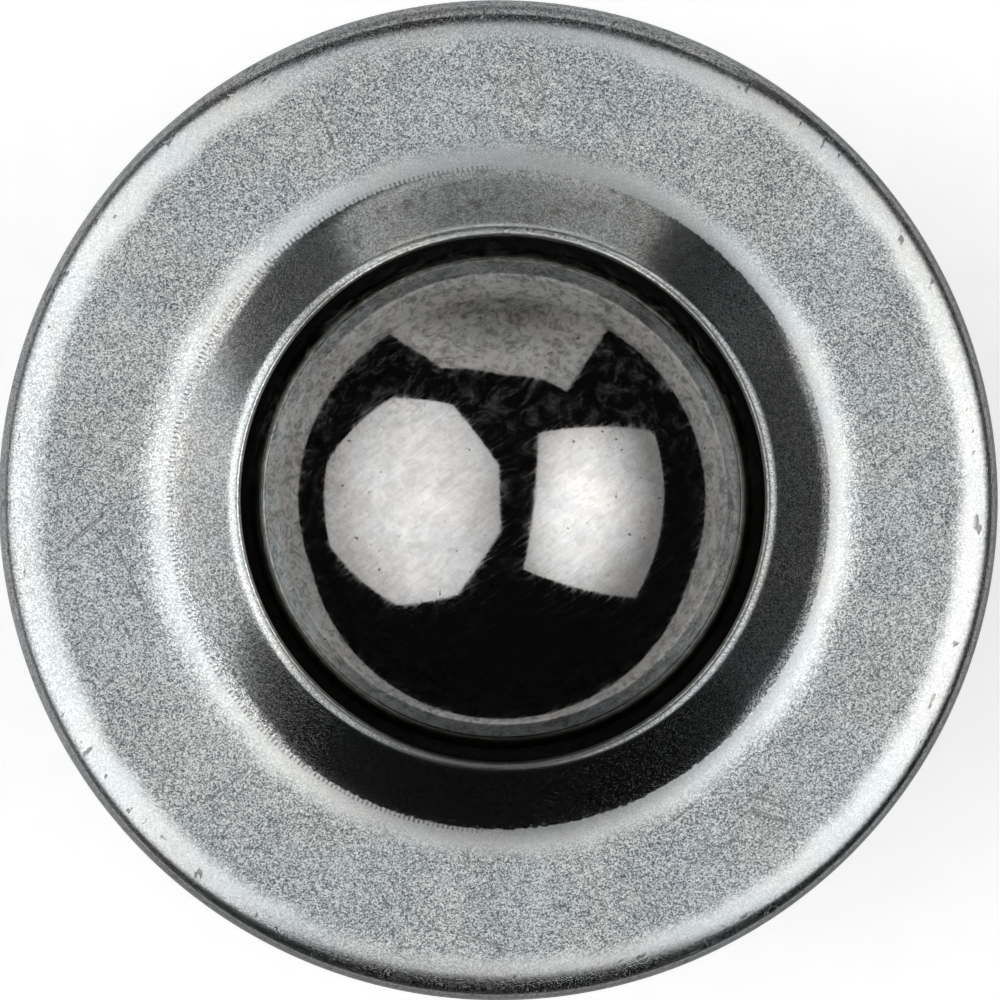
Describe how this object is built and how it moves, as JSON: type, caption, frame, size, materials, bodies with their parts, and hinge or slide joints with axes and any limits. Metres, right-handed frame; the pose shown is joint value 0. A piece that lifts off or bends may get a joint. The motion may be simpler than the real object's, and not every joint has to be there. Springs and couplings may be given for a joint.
{
  "type": "ball transfer unit",
  "caption": "Round flanged ball transfer unit: a polished load ball turns on small support balls in a hardened cup, inside a drawn sheet housing with a raised collar.",
  "frame": {"origin": "on the axis, at the flat underside of the housing", "axes": "+Z along the axis, from the housing's floor to the top of the load ball; the unit is round about +Z"},
  "size_m": [0.055, 0.055, 0.037],
  "materials": {
    "housing_sheet": "zinc-plated drawn sheet steel, satin",
    "cover_sheet": "zinc-plated pressed sheet steel, satin, burnished on the collar and the edge",
    "hardened_cup": "hardened steel, ground race, oiled",
    "ring_sheet": "stamped sheet steel, plain",
    "felt": "oiled dark felt",
    "load_ball_steel": "polished hardened steel with a thin smear of oil and fine running marks",
    "support_ball_steel": "polished hardened steel"
  },
  "bodies": {
    "housing_unit": {"housing": "housing_sheet", "ball_cup": "hardened_cup", "retaining_ring": "ring_sheet", "felt_seal": "felt", "cover": "cover_sheet"},
    "support_bed": {"support_ball_1_1": "support_ball_steel", "support_ball_2_1": "support_ball_steel", "support_ball_2_2": "support_ball_steel", "support_ball_2_3": "support_ball_steel", "support_ball_2_4": "support_ball_steel", "support_ball_2_5": "support_ball_steel", "support_ball_2_6": "support_ball_steel", "support_ball_3_1": "support_ball_steel", "support_ball_3_2": "support_ball_steel", "support_ball_3_3": "support_ball_steel", "support_ball_3_4": "support_ball_steel", "support_ball_3_5": "support_ball_steel", "support_ball_3_6": "support_ball_steel", "support_ball_3_7": "support_ball_steel", "support_ball_3_8": "support_ball_steel", "support_ball_3_9": "support_ball_steel", "support_ball_3_10": "support_ball_steel", "support_ball_3_11": "support_ball_steel", "support_ball_3_12": "support_ball_steel", "support_row_4": "support_ball_steel", "support_row_5": "support_ball_steel", "support_row_6": "support_ball_steel", "support_row_7": "support_ball_steel"},
    "ball": {"load_ball": "load_ball_steel"}
  },
  "joints": [
    {"name": "bed_turn", "type": "hinge", "parent": "housing_unit", "child": "support_bed", "pos_m": [0, 0, 0.022], "axis": [0, 0, 1], "continuous": true},
    {"name": "ball_roll", "type": "hinge", "parent": "support_bed", "child": "ball", "pos_m": [0, 0, 0.022], "axis": [1, 0, 0], "continuous": true}
  ]
}
